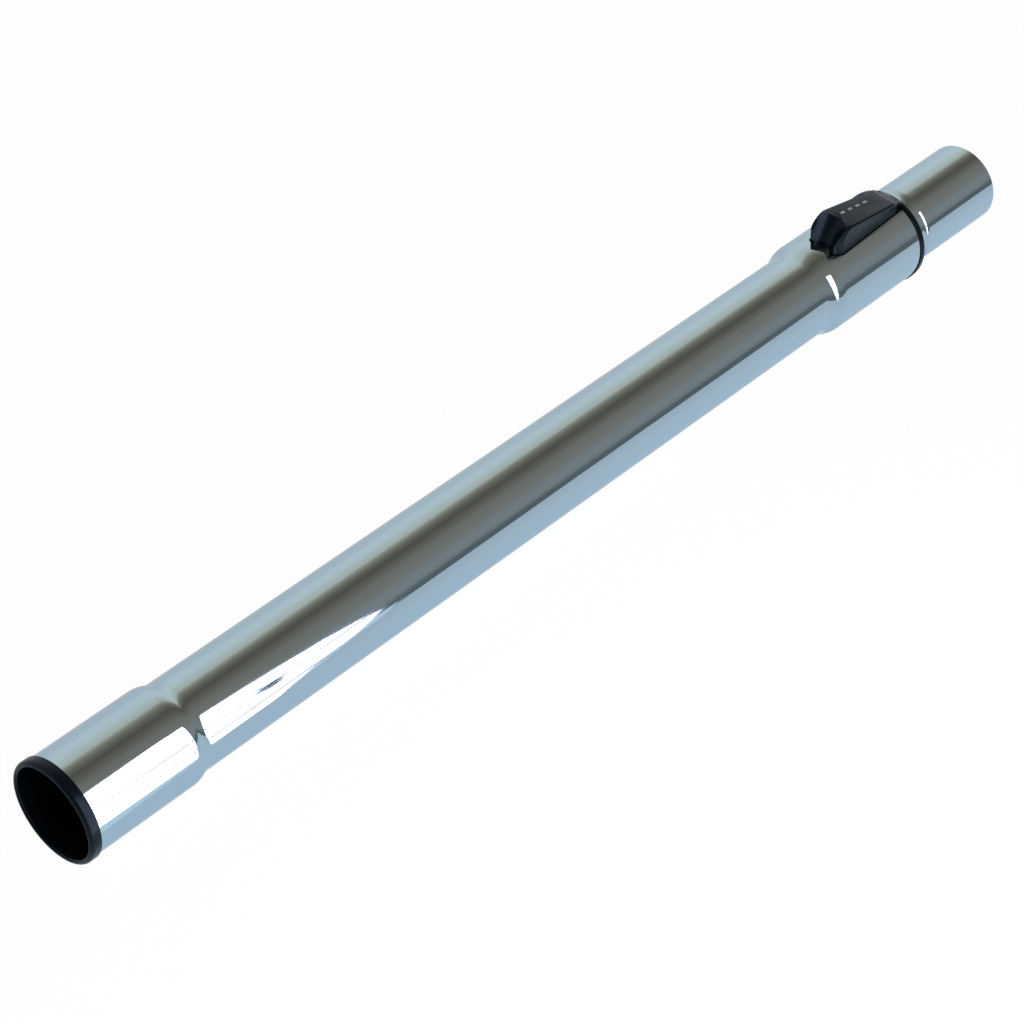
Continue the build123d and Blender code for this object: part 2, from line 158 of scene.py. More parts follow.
class ButtonSizes(bpy.types.PropertyGroup):
    """Sizes of the release button, in millimetres."""
    front: size_mm("Front", "Foot of the button's front", station(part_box("release_button")[0].x))
    length: size_mm("Length", "Length along the tube", 44.0)
    tip_half: size_mm("Tip", "Half the width at the tips", 6.4)
    toe: size_mm("Toe", "How far the tips draw back at their foot", 1.2)
    tip_round: size_mm("Tip rounding", "Rounding of the tips", 1.6)
    shoulder_back: size_mm("Shoulder", "Shoulder behind the tips", 4.2)
    shoulder_half: size_mm("Shoulder width", "Half the width at the shoulders", 7.85)
    shoulder_round: size_mm("Shoulder rounding", "Rounding of the shoulders", 2.5)
    tail_half: size_mm("Tail width", "Half the width at the tail", 6.4)
    tail_round: size_mm("Tail rounding", "Rounding of the tail", 2.2)
    height: size_mm("Height", "Height of the front above the bell", 12.0)
    slim: size_mm("Slim", "Narrowing of the front towards the top", 0.3)
    tail_slim: size_mm("Tail slim", "Narrowing of the tail", 1.1)
    slope: bpy.props.FloatProperty(
        name="Slope", description="Fall of the top towards the tail",
        default=math.radians(10.2), subtype="ANGLE")
    brow_slope: bpy.props.FloatProperty(
        name="Brow slope", description="Fall of the tail and the brow",
        default=math.radians(24.0), subtype="ANGLE")
    brow_half: size_mm("Brow width", "Half the width of the brow", 4.9)
    tail_fall: size_mm("Tail fall", "Length of the steeper tail", 4.5)
    front_round: size_mm("Front rounding", "Rounding of the front", 5.5)
    skirt: size_mm("Skirt", "Depth below the bell's surface", 1.2)
    tail_relief: size_mm("Tail relief", "Room under the tail", 0.55)
    scoop_low: size_mm("Scoop foot", "Radius of the scoop's foot", 5.0)
    scoop_high: size_mm("Scoop top", "Radius of the scoop's top", 7.8)
    scoop_depth: size_mm("Scoop depth", "Depth of the scoop's foot", 3.4)
    scoop_lean: size_mm("Scoop lean", "How far the scoop's top lies back", 6.6)
    wall: size_mm("Wall", "Thickness of the flanks", 1.65)
    roof: size_mm("Roof", "Thickness of the roof", 1.8)
    cavity_start: size_mm("Hollow", "Where the hollow begins", 12.4)
    cavity_wall: size_mm("Web", "From the hollow to the pawl", 4.6)
    pawl_ahead: size_mm("Pawl", "From the pawl to the tail", 5.5)
    gap: size_mm("Window gap", "Gap between button and bell", 0.35)
    edge: size_mm("Edge rounding", "Rounding of the long edges", 0.9)
    rim: size_mm("Scoop rim", "Rounding of the scoop's rim", 0.5)
    pip_pitch: size_mm("Pip pitch", "Distance between grip pips", 5.2)
    pip_start: size_mm("First pip", "Place of the first grip pip", 14.0)
    pip_offset: size_mm("Pip offset", "Distance to one side", 1.6)
    pip_length: size_mm("Pip length", "Length of a grip pip", 2.9)
    pip_width: size_mm("Pip width", "Width of a grip pip", 1.1)
    pip_height: size_mm("Pip height", "Height of a grip pip", 0.22)
    pip_count: bpy.props.IntProperty(name="Pips", description="Number of grip pips", default=4)


class FinishColours(bpy.types.PropertyGroup):
    """Colours of the finishes, as sRGB hex values."""
    chrome: colour("Chrome", "Bright chrome plate", "#b3bfc7")
    bare_steel: colour("Bare steel", "Unplated inside of the tubes", "#7d8284")
    black: colour("Black ABS", "Gloss black moulding", "#080d13")
    acetal: colour("Black acetal", "Dull black moulding", "#0d1016")
    felt: colour("Felt", "Wiper felt", "#3f4043")
    # The grip pips are coloured an even pale grey all over
    pip: colour("Grip pips", "Pale ink on the grip pips", "#8d979d")
    spring: colour("Spring steel", "Springs, pin and pawl", "#9a9c9e")
    sheen: colour("Sheen", "Cool tint of the light on black plastic", "#b4d2f5")
    floor: colour("Floor", "Pale floor", "#f5f8fa")


def sizes():
    """The groups of sizes kept on the scene."""
    scene = bpy.context.scene
    return scene.tube_sizes, scene.track_sizes, scene.plastic_sizes, scene.button_sizes


def finish_colour(name):
    """A colour of the finishes, as linear values."""
    return linear(getattr(bpy.context.scene.finish_colours, name))


def linear(code):
    """An sRGB hex colour as linear red, green, blue and alpha."""
    parts = [int(code[i:i + 2], 16) / 255 for i in (1, 3, 5)]
    return [c / 12.92 if c <= 0.04045 else ((c + 0.055) / 1.055) ** 2.4 for c in parts] + [1.0]


# Modelling by hand

def place(x, radius=0.0, across=0.0):
    """The point at a station, a height above the tube's centre line and a distance across, in the frame."""
    return Vector((x * MM - HALF_LENGTH, across * MM, AXIS_HEIGHT + radius * MM))


def start_line(name, point):
    """Begins a new piece as one corner at a point and leaves it in edit mode."""
    bpy.ops.object.select_all(action="DESELECT")
    bpy.ops.mesh.primitive_plane_add(size=MM, location=(0, 0, 0))
    piece = bpy.context.object
    piece.name = piece.data.name = name
    bpy.ops.object.mode_set(mode="EDIT")
    bpy.ops.mesh.select_all(action="SELECT")
    bpy.ops.mesh.merge(type="CENTER")
    bpy.ops.transform.translate(value=point)
    return piece


def draw_on(points):
    """Extrudes the selected corner along a list of points; the first is where it stands."""
    for here, there in zip(points, points[1:]):
        bpy.ops.mesh.extrude_region_move(TRANSFORM_OT_translate={"value": there - here})


def merge_corners(reach=SAME_PLACE):
    """Selects all of the piece being edited and merges its doubled corners."""
    bpy.ops.mesh.select_all(action="SELECT")
    bpy.ops.mesh.remove_doubles(threshold=reach)


def weld(piece):
    """Merges the doubled corners of the piece being edited and turns its faces outwards."""
    merge_corners()
    bpy.ops.mesh.normals_make_consistent(inside=False)
    bpy.ops.object.mode_set(mode="OBJECT")
    return piece


def turned(name, outline):
    """A closed outline of stations and radii, drawn and spun about the tube's centre line."""
    points = [place(x, r) for x, r in outline]
    piece = start_line(name, points[0])
    draw_on(points + points[:1])
    merge_corners()
    bpy.ops.mesh.spin(steps=bpy.context.scene.tube_sizes.facets, angle=2 * math.pi,
                      center=place(0), axis=TUBE_AXIS)
    return weld(piece)


def lofted(name, *rings):
    """Closed outlines with as many points each, bridged one to the next and capped."""
    drawn = []
    for index, ring in enumerate(rings):
        drawn.append(start_line(f"{name}_{index}", ring[0]))
        draw_on(ring + ring[:1])
        bpy.ops.object.mode_set(mode="OBJECT")
    for outline in drawn:
        outline.select_set(True)
    piece = drawn[0]
    piece.name = piece.data.name = name
    bpy.context.view_layer.objects.active = piece
    bpy.ops.object.join()
    bpy.ops.object.mode_set(mode="EDIT")
    merge_corners()
    bpy.ops.mesh.bridge_edge_loops()
    bpy.ops.mesh.select_all(action="DESELECT")
    bpy.ops.mesh.select_non_manifold(extend=False)
    bpy.ops.mesh.edge_face_add()
    return weld(piece)


def pick(piece):
    """Makes a piece the only selected object and the active one."""
    bpy.ops.object.select_all(action="DESELECT")
    bpy.context.view_layer.objects.active = piece
    piece.select_set(True)


def cut_with(piece, tool, operation="DIFFERENCE"):
    """Cuts, joins or keeps the overlap of a piece and a tool, which is then thrown away."""
    change = piece.modifiers.new(operation.lower(), "BOOLEAN")
    change.operation = operation
    change.object = tool
    change.solver = "EXACT"
    pick(piece)
    bpy.ops.object.modifier_apply(modifier=change.name)
    spare = tool.data
    bpy.data.objects.remove(tool)
    bpy.data.meshes.remove(spare)
    return piece


def bevel_edges(piece, chosen, width, segments=4, sharp=32):
    """Rounds the edges sharper than an angle in degrees that a test picks by their two ends."""
    pick(piece)
    bpy.ops.object.mode_set(mode="EDIT")
    bpy.ops.mesh.select_mode(type="EDGE")
    bpy.ops.mesh.select_all(action="DESELECT")
    bpy.ops.mesh.edges_select_sharp(sharpness=math.radians(sharp))
    bpy.ops.object.mode_set(mode="OBJECT")
    corners = piece.data.vertices
    for edge in piece.data.edges:
        ends = [corners[i].co for i in edge.vertices]
        edge.select = edge.select and chosen(*ends)
    picked = [e.index for e in piece.data.edges if e.select]
    if not picked:
        raise RuntimeError(f"no edge of {piece.name} was picked for rounding")
    for part in list(piece.data.vertices) + list(piece.data.polygons):
        part.select = False
    for index in picked:
        for corner in piece.data.edges[index].vertices:
            corners[corner].select = True
    bpy.ops.object.mode_set(mode="EDIT")
    bpy.ops.mesh.bevel(offset=width * MM, segments=segments, affect="EDGES", clamp_overlap=True)
    bpy.ops.mesh.select_mode(type="VERT")
    weld(piece)


def smooth(piece, degrees=30):
    """Shades a piece smooth, keeping edges sharper than an angle."""
    pick(piece)
    bpy.ops.object.shade_smooth_by_angle(angle=math.radians(degrees))


def finish_piece(piece, body, materials, node, second=None):
    """Gives a piece its finish, the faces that a test picks the second finish, and its place in the frame."""
    piece.data.materials.clear()
    for material in materials:
        piece.data.materials.append(material)
    for face in piece.data.polygons:
        face.material_index = 1 if second and second(face.center, face.normal) else 0
    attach(piece, body)
    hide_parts(node)


def faces_bore(at, normal, end_on=0.9):
    """Whether a face looks towards the tube's centre line, and not along it."""
    outward = at - place(0)
    return outward.y * normal.y + outward.z * normal.z < 0 and normal.x ** 2 < end_on


# Outlines

def s_curve(start, end, steps=14):
    """Points of two equal arcs that leave start and reach end along the tube, without the ends."""
    run, rise = end[0] - start[0], end[1] - start[1]
    bend = 2 * math.atan2(abs(rise), abs(run))
    radius = abs(run) / 2 / math.sin(bend)
    sign_x, sign_r = math.copysign(1, run), math.copysign(1, rise)
    points = []
    for step in range(1, 2 * steps):
        turn = bend * min(step, 2 * steps - step) / steps
        x, r = radius * math.sin(turn), radius * (1 - math.cos(turn))
        if step > steps:
            x, r = abs(run) - x, abs(rise) - r
        points.append((start[0] + sign_x * x, start[1] + sign_r * r))
    return points


def arc(centre, radius, start, end, steps=4):
    """Points of an arc about a centre, from one angle to another in degrees, with its ends."""
    turns = [math.radians(start + (end - start) * k / steps) for k in range(steps + 1)]
    return [(centre[0] + radius * math.cos(t), centre[1] + radius * math.sin(t)) for t in turns]


def held(start, end, hold=0.4):
    """Two points just inside a straight run, which keep its shading straight to the ends."""
    side = math.copysign(hold, end[0] - start[0])
    return [(start[0] + side, start[1]), (end[0] - side, end[1])]


def tube_skin(runs, inset):
    """A tube's outer or inner skin from its list of straight runs, joined by S-shaped shoulders."""
    points = []
    for start, end, radius in runs:
        first, last = (start, radius - inset), (end, radius - inset)
        if points:
            points += s_curve(points[-1], first)
        points += [first] + held(first, last) + [last]
    return points


def tube_outline(runs, sheet, rim):
    """A closed tube section with rounded cut edges."""
    left, right = runs[0][0] + rim, runs[-1][1] - rim
    r_left, r_right = runs[0][2], runs[-1][2]
    outer, inner = ([p for p in tube_skin(runs, inset) if left < p[0] < right] for inset in (0, sheet))
    start = arc((left, r_left - sheet + rim), rim, 270, 180) + arc((left, r_left - rim), rim, 180, 90)
    end = arc((right, r_right - rim), rim, 90, 0) + arc((right, r_right - sheet + rim), rim, 0, -90)
    return start + outer + end + inner[::-1]


def button_foot(gap):
    """The button's outline at the bell's surface, moved outwards by a gap."""
    *_, b = sizes()
    half = [(b.front + b.toe, b.tip_half), (b.front + b.toe + b.shoulder_back, b.shoulder_half),
            (b.front + b.length, b.tail_half)]
    tip, shoulder, tail = grown(half + [(x, -y) for x, y in half[::-1]], gap)[:3]
    path = rounded_path([(tip[0], 0.0), tip, shoulder, tail, (tail[0], 0.0)],
                        (b.tip_round + gap / 2, b.shoulder_round, gap))
    return path[:-1] + [(x, -y) for x, y in path[-2:0:-1]]


def rounded_path(points, radii, steps=5):
    """A path whose inner corners are rounded, each by its own radius."""
    path = [points[0]]
    for before, here, after, radius in zip(points, points[1:], points[2:], radii):
        here = Vector(here)
        first, second = (here - Vector(before)).normalized(), (Vector(after) - here).normalized()
        turn = first.angle_signed(second)
        reach = radius * math.tan(abs(turn) / 2)
        start = here - first * reach
        side = Vector((first.y, -first.x)) * math.copysign(1, turn)
        for k in range(steps + 1):
            part = turn * k / steps
            along, aside = radius * math.sin(abs(part)), radius * (1 - math.cos(part))
            path.append(tuple(start + first * along + side * aside))
    return path + [points[-1]]


def grown(points, gap):
    """A convex outline moved outwards by a gap, with its corners kept."""
    moved = []
    count = len(points)
    middle = Vector((sum(p[0] for p in points) / count, 0))
    for i in range(count):
        before, here, after = (Vector(points[k % count]) for k in (i - 1, i, i + 1))
        first, second = (here - before).normalized(), (after - here).normalized()
        out_1, out_2 = Vector((first.y, -first.x)), Vector((second.y, -second.x))
        if out_1.dot(here - middle) < 0:
            out_1, out_2 = -out_1, -out_2
        share = gap / (1 + out_1.dot(out_2))
        moved.append(tuple(here + (out_1 + out_2) * share))
    return moved


def raised(name, plan, low, high):
    """A plan outline of stations and distances across, raised between two heights."""
    return lofted(name, [place(x, low, y) for x, y in plan], [place(x, high, y) for x, y in plan])


def ring_points(x, radius, low, count=96):
    """A circle of stations and distances across, as points at one height."""
    turns = [2 * math.pi * k / count for k in range(count)]
    return [place(x + radius * math.cos(t), low, radius * math.sin(t)) for t in turns]


def bell_window():
    """The tool that cuts the button's opening through the bell, less the tongue in the scoop."""
    t, _, _, b = sizes()
    # Each tool ends at heights of its own, so that no two of their faces fall together
    top = 2 * t.bell_od
    tool = raised("window", button_foot(b.gap), 0, top)
    half, start, end = b.tail_half + b.gap, b.front + b.length - PAST, t.bell_end + PAST
    to_rim = raised("to_rim", [(start, half), (end, half), (end, -half), (start, -half)], PAST / 2, top + PAST)
    cut_with(tool, to_rim, "UNION")
    centre, radius = b.front + b.scoop_depth - b.scoop_low, b.scoop_low - b.gap
    tongue = lofted("tongue", ring_points(centre, radius, -PAST), ring_points(centre, radius, top + 2 * PAST))
    return cut_with(tool, tongue)


def slot_plan(start, end, width, grow=0.0):
    """A round-ended slot as a plan outline."""
    radius = width / 2 + grow
    left, right = start + width / 2, end - width / 2
    return arc((left, 0), radius, 90, 270, steps=16) + arc((right, 0), radius, -90, 90, steps=16)


def rounded_plan(x, length, width, corner):
    """A rectangle with round corners as a plan outline."""
    points = []
    for sx, sy, turn in ((1, 1, 0), (-1, 1, 90), (-1, -1, 180), (1, -1, 270)):
        centre = (x + sx * (length / 2 - corner), sy * (width / 2 - corner))
        points += arc(centre, corner, turn, turn + 90)
    return points


def track_tool(grow):
    """The tool that presses the track and its notches, grown by the sheet for the bore's side."""
    t, k, _, b = sizes()
    floor, top = t.slide_od / 2 - k.depth - grow, 2 * t.slide_od
    tool = raised("track", slot_plan(k.start, k.end, k.width, grow), floor, top)
    first = b.front + b.length - b.pawl_ahead
    travel = frame["joints"][0]["range_m"][1] / MM
    for step in range(k.notch_count):
        x = first - step * travel / (k.notch_count - 1)
        plan = rounded_plan(x, k.notch_length + 2 * grow, k.notch_width + 2 * grow, k.notch_corner + grow)
        cut_with(tool, raised("notch", plan, floor - k.notch_depth, top - PAST), "UNION")
    return tool


# Finishes

def add_node(tree, kind, links=(), **settings):
    """Adds a node, sets its fields or sockets by name and links other nodes' outputs into it."""
    node = tree.nodes.new(kind)
    for key, value in settings.items():
        if hasattr(node, key):
            setattr(node, key, value)
        else:
            node.inputs[key.replace("_", " ")].default_value = value
    for socket, (source, output) in dict(links).items():
        tree.links.new(source.outputs[output], node.inputs[socket])
    return node


def new_material(name):
    """An empty node material and its tree."""
    material = bpy.data.materials.new(name)
    material.use_nodes = True
    material.node_tree.nodes.clear()
    return material, material.node_tree


def close_material(tree, shader, output="BSDF"):
    """Links a shader to the material's surface."""
    add_node(tree, "ShaderNodeOutputMaterial", {"Surface": (shader, output)})


def shared_finish(name):
    """Names a finish whose shader a function builds from a tree and its coordinates, once for all pieces."""
    def named(build):
        def shared():
            material = bpy.data.materials.get(name)
            if material is None:
                material, tree = new_material(name)
                close_material(tree, build(tree, add_node(tree, "ShaderNodeTexCoord")))
            return material
        return shared
    return named


@shared_finish("chrome_plate_polished")
def chrome_plate(tree, here):
    """Bright chrome plate on drawn steel: mirror gloss with the faint long streaks of the draw bench."""
    # Draw streaks about 1.5 mm apart across the tube and 150 mm long
    along = add_node(tree, "ShaderNodeMapping", {"Vector": (here, "Object")}, Scale=(7.0, 700.0, 700.0))
    streaks = add_node(tree, "ShaderNodeTexNoise", {"Vector": (along, "Vector")}, Scale=1.0, Detail=3.0)
    haze = add_node(tree, "ShaderNodeTexNoise", {"Vector": (here, "Object")}, Scale=60.0, Detail=4.0)
    gloss = add_node(tree, "ShaderNodeMapRange", {"Value": (haze, "Fac")}, To_Min=0.03, To_Max=0.07)
    wave = add_node(tree, "ShaderNodeBump", {"Height": (streaks, "Fac")}, Strength=0.04, Distance=0.0004)
    return add_node(tree, "ShaderNodeBsdfPrincipled",
                    {"Roughness": (gloss, "Result"), "Normal": (wave, "Normal")},
                    Base_Color=finish_colour("chrome"), Metallic=1.0)


@shared_finish("drawn_steel_unplated")
def bare_steel(tree, here):
    """Drawn steel left unplated inside: grey and dull, with long die lines."""
    # Die lines about 1 mm apart
    along = add_node(tree, "ShaderNodeMapping", {"Vector": (here, "Object")}, Scale=(12.0, 1000.0, 1000.0))
    lines = add_node(tree, "ShaderNodeTexNoise", {"Vector": (along, "Vector")}, Scale=1.0, Detail=4.0)
    dull = add_node(tree, "ShaderNodeMapRange", {"Value": (lines, "Fac")}, To_Min=0.28, To_Max=0.45)
    bump = add_node(tree, "ShaderNodeBump", {"Height": (lines, "Fac")}, Strength=0.2, Distance=0.0001)
    return add_node(tree, "ShaderNodeBsdfPrincipled",
                    {"Roughness": (dull, "Result"), "Normal": (bump, "Normal")},
                    Base_Color=finish_colour("bare_steel"), Metallic=1.0)


def moulded_plastic(tree, here, colour_name, low, high, grain, depth, shine):
    """Injection-moulded plastic: even colour, roughness from low to high, and a mould grain in millimetres."""
    spots = add_node(tree, "ShaderNodeTexNoise", {"Vector": (here, "Object")},
                     Scale=1 / (grain * MM), Detail=2.0)
    smear = add_node(tree, "ShaderNodeTexNoise", {"Vector": (here, "Object")}, Scale=90.0, Detail=3.0)
    gloss = add_node(tree, "ShaderNodeMapRange", {"Value": (smear, "Fac")}, To_Min=low, To_Max=high)
    bump = add_node(tree, "ShaderNodeBump", {"Height": (spots, "Fac")}, Strength=0.12, Distance=depth * MM)
    return add_node(tree, "ShaderNodeBsdfPrincipled",
                    {"Roughness": (gloss, "Result"), "Normal": (bump, "Normal")},
                    Base_Color=finish_colour(colour_name), IOR=1.53, Specular_IOR_Level=shine,
                    Specular_Tint=finish_colour("sheen"))


@shared_finish("abs_black_gloss_moulded")
def black_abs(tree, here):
    """Black ABS from a polished mould: glossy, with a slight softness in its reflections."""
    return moulded_plastic(tree, here, "black", low=0.2, high=0.3, grain=0.5, depth=0.02, shine=0.15)


@shared_finish("acetal_black_moulded")
def black_acetal(tree, here):
    """Black acetal from a fine-blasted mould: low sheen."""
    return moulded_plastic(tree, here, "acetal", low=0.36, high=0.48, grain=0.4, depth=0.05, shine=0.2)


@shared_finish("grip_pips_pale_grey")
def pale_grey_pips(tree, here):
    """Pale grey on the grip pips: flat, with a slightly uneven gloss."""
    return moulded_plastic(tree, here, "pip", low=0.4, high=0.6, grain=0.3, depth=0.03, shine=0.5)


@shared_finish("felt_grey_pressed")
def wiper_felt(tree, here):
    """Pressed wool felt: matt grey with fibres in all directions."""
    base = finish_colour("felt")[:3]
    # Fibre tufts about 0.6 mm across
    fibre = add_node(tree, "ShaderNodeTexNoise", {"Vector": (here, "Object")}, Scale=1600.0, Detail=6.0)
    tone = add_node(tree, "ShaderNodeValToRGB", {"Fac": (fibre, "Fac")})
    for element, share in zip(tone.color_ramp.elements, (0.6, 1.5)):
        element.color = [min(1, c * share) for c in base] + [1]
    bump = add_node(tree, "ShaderNodeBump", {"Height": (fibre, "Fac")}, Strength=0.7, Distance=0.0003)
    return add_node(tree, "ShaderNodeBsdfPrincipled",
                    {"Base Color": (tone, "Color"), "Normal": (bump, "Normal")},
                    Roughness=0.95, Sheen_Weight=0.4)


@shared_finish("spring_steel_drawn")
def spring_steel(tree, here):
    """Cold-drawn spring steel: bright grey, lightly brushed."""
    haze = add_node(tree, "ShaderNodeTexNoise", {"Vector": (here, "Object")}, Scale=900.0, Detail=3.0)
    gloss = add_node(tree, "ShaderNodeMapRange", {"Value": (haze, "Fac")}, To_Min=0.2, To_Max=0.34)
    return add_node(tree, "ShaderNodeBsdfPrincipled", {"Roughness": (gloss, "Result")},
                    Base_Color=finish_colour("spring"), Metallic=1.0)


# Pieces

class AddOuterTube(bpy.types.Operator):
    """Draws and spins the outer tube and cuts the button's window"""
    bl_idname = "suction.outer_tube"
    bl_label = "Outer tube"

    def execute(self, context):
        t = context.scene.tube_sizes
        bell_start = t.bell_end - t.bell_run
        runs = ((t.socket_start, t.socket_end, t.socket_od / 2),
                (t.socket_end + t.socket_taper, bell_start - t.bell_taper, t.barrel_od / 2),
                (bell_start, t.bell_end, t.bell_od / 2))
        tube = turned("outer_tube_shell", tube_outline(runs, t.sheet, t.rim_round))
        cut_with(tube, bell_window())
        off_ends, near = 0.2, 0.05
        left, right = place(bell_start + off_ends).x, place(t.bell_end - off_ends).x

        def on_window(point):
            reach = math.hypot(point.y, point.z - AXIS_HEIGHT) / MM
            return left < point.x < right and abs(reach - t.bell_od / 2) < near

        bevel_edges(tube, lambda a, c: on_window(a) and on_window(c), t.lip_round, segments=3)
        smooth(tube)
        finish_piece(tube, "outer", [chrome_plate(), bare_steel()], "outer_tube", faces_bore)
        return {"FINISHED"}


class AddInnerTube(bpy.types.Operator):
    """Draws and spins the inner tube and presses its track and notches"""
    bl_idname = "suction.inner_tube"
    bl_label = "Inner tube"

    def execute(self, context):
        t = context.scene.tube_sizes
        runs = ((t.slide_start, t.neck_end, t.slide_od / 2),
                (t.neck_end + t.cuff_taper, t.cuff_end, t.cuff_od / 2))
        rim = t.rim_round
        skin = tube_skin(runs, 0)
        (left, low), (right, high) = skin[0], skin[-1]
        solid = turned("inner_tube_shell", arc((left + rim, low - rim), rim, 180, 90) + skin[1:-1]
                       + arc((right - rim, high - rim), rim, 90, 0) + [(right, 0), (left, 0)])
        cut_with(solid, track_tool(0))
        bore = tube_skin(runs, t.sheet)
        low, high = bore[0][1] + rim, bore[-1][1] + rim
        core = turned("inner_tube_bore", [(left - PAST, 0), (left - PAST, low), (left, low)]
                      + arc((left + rim, low), rim, 180, 270)[1:] + bore[1:-1]
                      + arc((right - rim, high), rim, 270, 360)[:-1]
                      + [(right, high), (right + PAST, high), (right + PAST, 0)])
        cut_with(core, track_tool(t.sheet))
        tube = cut_with(solid, core)
        smooth(tube)
        finish_piece(tube, "inner", [chrome_plate(), bare_steel()], "inner_tube", faces_bore)
        return {"FINISHED"}


class AddSocketLiner(bpy.types.Operator):
    """Draws and spins the black liner with its rounded mouth ring"""
    bl_idname = "suction.socket_liner"
    bl_label = "Socket liner"

    def execute(self, context):
        t, _, p, _ = sizes()
        bore, lip = p.liner_bore / 2, p.flange_od / 2
        skin = t.socket_od / 2 - t.sheet - p.gap
        end = t.socket_end - t.sheet
        stop, crest = end - p.stop_thick, bore - p.stop_lip
        # The fine roundings, and points that hold the shading of the straight runs
        fine, hold, hold_lead = 0.2, 1.0, 0.4
        outline = (arc((p.flange_round, lip - p.flange_round), p.flange_round, 180, 90, steps=10)
                   + arc((t.socket_start - fine, lip - fine), fine, 90, 0)
                   + [(t.socket_start, skin), (t.socket_start + hold, skin)]
                   + arc((end - fine, skin - fine), fine, 90, 0)
                   + arc((end - fine, crest + fine), fine, 0, -90)
                   + arc((stop + fine, crest + fine), fine, 270, 180)
                   + [(stop, bore), (stop - hold, bore), (p.lead_in + hold_lead, bore)]
                   + arc((p.lead_in, bore + p.lead_in), p.lead_in, 270, 180, steps=8))
        liner = turned("socket_liner_moulding", outline)
        smooth(liner)
        finish_piece(liner, "outer", [black_abs()], "socket_liner")
        return {"FINISHED"}


# The collar's room over the inner tube ahead of the felt, around it and at the face, the face's thickness, the
# gap behind the button's tail and the height down to which that place is cleared, in millimetres
SLEEVE_ROOM, SEAT_ROOM, FACE_ROOM, FACE_THICK = 1.4, 2.4, 0.3, 1.1
TAIL_GAP, CLEAR_DOWN_TO = 0.5, 5


class AddCollar(bpy.types.Operator):
    """Draws and spins the black collar and builds the brow behind the button"""
    bl_idname = "suction.collar"
    bl_label = "Collar"

    def execute(self, context):
        t, _, p, b = sizes()
        lip, face, end = p.collar_od / 2, p.collar_end, t.bell_end
        start = station(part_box("collar_ring")[0].x)
        skin = t.bell_od / 2 - t.sheet - p.gap
        inside, seat, bore = (t.slide_od / 2 + room for room in (SLEEVE_ROOM, SEAT_ROOM, FACE_ROOM))
        back = face - FACE_THICK
        fine = 0.15
        ring = turned("collar_moulding", [(start, skin), (end, skin)]
                      + arc((end + fine, lip - fine), fine, 180, 90)
                      + arc((face - p.collar_round, lip - p.collar_round), p.collar_round, 90, 0, steps=8)
                      + arc((face - fine, bore + fine), fine, 0, -90)
                      + [(back, bore), (back, seat), (end, seat), (end, inside), (start, inside)])
        ahead, rear, half = start - PAST, b.front + b.length + TAIL_GAP, half_width(start, 0) + b.gap
        cut_with(ring, raised("clear", [(ahead, half), (rear, half), (rear, -half), (ahead, -half)],
                              CLEAR_DOWN_TO, 2 * t.bell_od))
        brow = collar_brow(rear, inside)
        cut_with(brow, turned("wiper_room", [(ahead, 0), (ahead, inside), (end, inside), (end, seat),
                                             (back, seat), (back, 0)]))
        cut_with(ring, brow, "UNION")
        smooth(ring)
        finish_piece(ring, "outer", [black_abs()], "collar_ring")
        return {"FINISHED"}


def collar_brow(start, inside):
    """The brow behind the button, which carries the fall of its tail on to the collar's face."""
    t, _, p, b = sizes()
    knee, low = b.front + b.length - b.tail_fall, inside + 0.2
    lip, half = p.collar_od / 2, b.brow_half
    # The brow ends inside the ring: just under its lip, and deeper behind that
    under, deep, above_foot, rounding = 0.08, 1, 1, 0.7
    side = [(start, low), (start, crown_height(knee) - math.tan(b.brow_slope) * (start - knee)),
            (p.collar_end - p.collar_round, lip - under), (t.bell_end + PAST, lip - deep),
            (t.bell_end + PAST, low)]
    brow = lofted("brow", *([place(x, r, across) for x, r in side] for across in (-half, half)))

    def on_shoulder(a, c):
        lengthways = abs(a.x - c.x) > MM and min(abs(a.y), abs(c.y)) > half * 0.99 * MM
        return lengthways and min(a.z, c.z) > AXIS_HEIGHT + (low + above_foot) * MM

    bevel_edges(brow, on_shoulder, rounding)
    return brow


def crown_height(x):
    """Height of the button's sloping top over a station."""
    t, _, _, b = sizes()
    return t.bell_od / 2 + b.height - math.tan(b.slope) * (x - b.front)


def half_width(x, height):
    """Half the button's width at a station and a height."""
    t, _, _, b = sizes()
    lift = max(0.0, (height - t.bell_od / 2) / b.height)
    share = (x - b.front - b.shoulder_back) / (b.length - b.shoulder_back)
    shoulder, tail = b.shoulder_half - b.slim * lift, b.tail_half - b.tail_slim * lift
    return shoulder + (tail - shoulder) * share


def slice_of_button(depth, setback, inset, level=None):
    """The button's outline at a depth under its top plane, with its front set back and its flanks set in."""
    *_, b = sizes()
    rear = b.front + b.length
    corners = [(b.front, 0.0), (b.front, b.tip_half), (b.front + b.shoulder_back, b.shoulder_half),
               (rear, b.tail_half), (rear, 0.0)]
    half = rounded_path(corners, (b.tip_round, b.shoulder_round, b.tail_round), steps=7)
    shoulder = b.front + b.shoulder_back + b.shoulder_round
    points = []
    for x, y in half:
        moved = x + setback if x < shoulder else x
        height = crown_height(moved) - depth if level is None else level
        points.append((moved, height, y / half_width(x, 0) * (half_width(moved, height) - inset)))
    mirrored = [(x, height, -y) for x, height, y in points[-2:0:-1]]
    return [place(*point) for point in points + mirrored]


